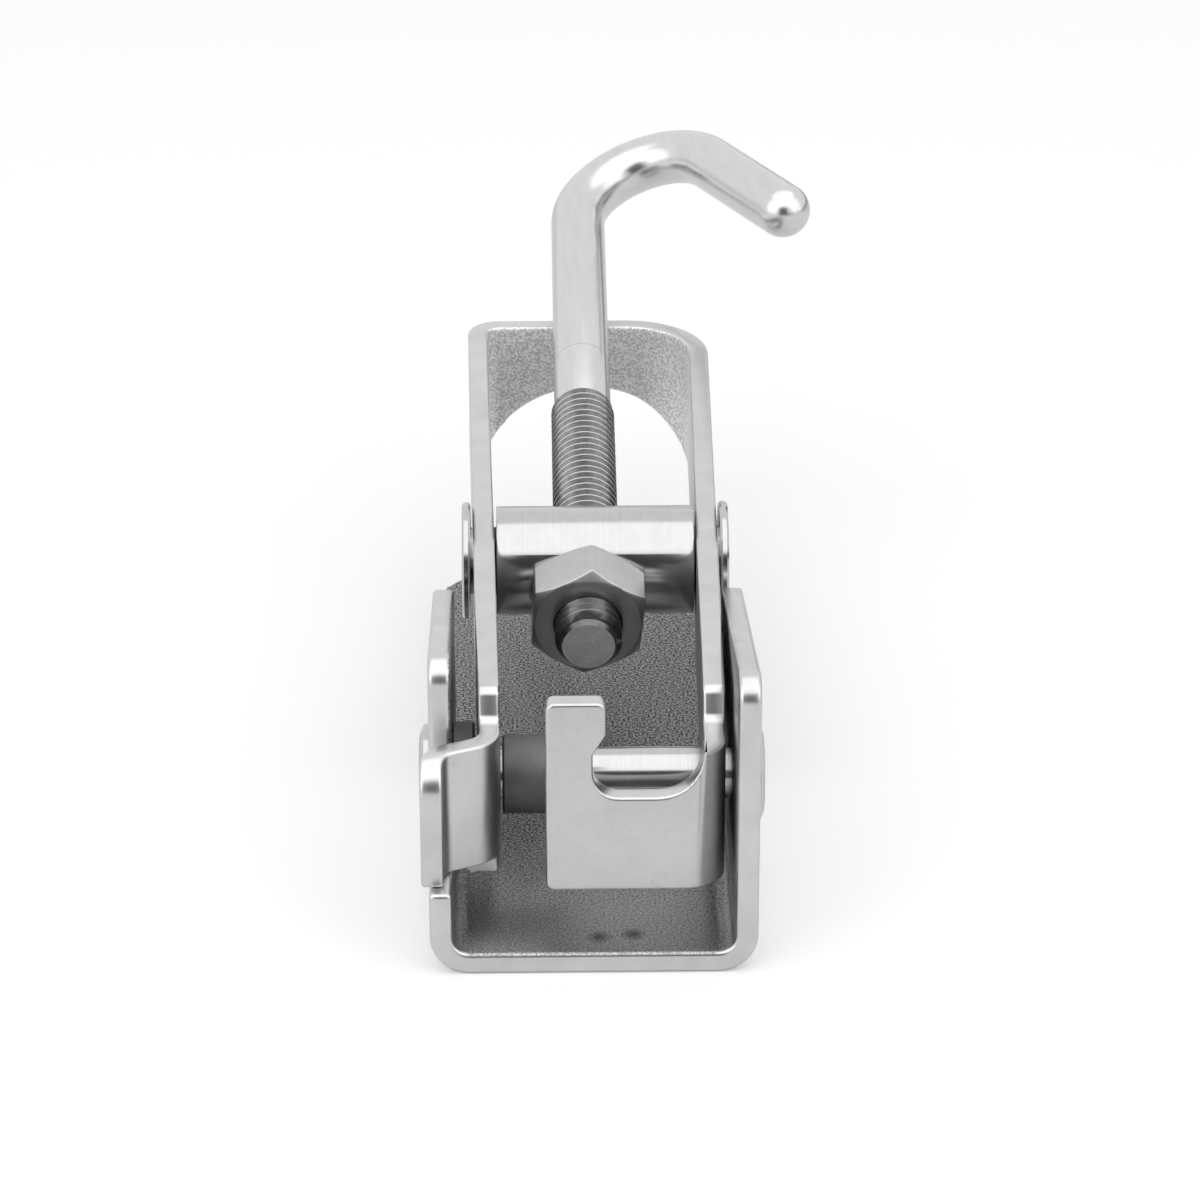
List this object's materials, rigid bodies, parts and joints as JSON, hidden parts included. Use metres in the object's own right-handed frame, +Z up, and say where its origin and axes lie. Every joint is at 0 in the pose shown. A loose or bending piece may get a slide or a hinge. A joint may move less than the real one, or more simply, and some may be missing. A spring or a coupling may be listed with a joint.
{
  "type": "anchor chain tensioner",
  "caption": "Deck-mounted anchor chain tensioner: folded steel base, pinned lever with a claw, and a hooked bolt drawn tight by a nut through a turning barrel.",
  "frame": {"origin": "middle of the base's underside, on the deck", "axes": "+Z up from the deck, +Y from the claw end to the hook end, +X to the right seen from the claw end"},
  "size_m": [0.0495, 0.1464, 0.0498],
  "materials": {
    "sheet": "pickled stainless sheet, matte grain",
    "turned": "turned and polished stainless",
    "rod": "satin drawn stainless rod",
    "nut": "plain machined stainless"
  },
  "bodies": {
    "base": {"base_channel": "sheet", "pivot_rivet": "turned", "pivot_sleeve": "turned", "spacer_washer": "turned"},
    "lever": {"lever": "sheet"},
    "barrel": {"barrel": "turned", "barrel_washers": "turned"},
    "nut": {"hex_nut": "nut"},
    "hook": {"hook_bolt": "rod"}
  },
  "joints": [
    {"name": "lever_pivot", "type": "hinge", "parent": "base", "child": "lever", "pos_m": [0, -0.033, 0.0158], "axis": [1, 0, 0], "range_deg": [-6, 0]},
    {"name": "barrel_turn", "type": "hinge", "parent": "lever", "child": "barrel", "pos_m": [0, 0.006, 0.0246], "axis": [1, 0, 0], "range_deg": [0, 155]},
    {"name": "nut_turn", "type": "hinge", "parent": "barrel", "child": "nut", "pos_m": [0, 0.006, 0.0246], "axis": [0, 0.9828, 0.1849], "range_deg": [-721, 4321]},
    {"name": "hook_slide", "type": "slide", "parent": "barrel", "child": "hook", "axis": [0, -0.9828, -0.1849], "range_m": [-0.0025, 0.015]}
  ],
  "couplings": [
    {"joint": "nut_turn", "follows": "hook_slide", "rad_per_m": 5026.5}
  ]
}
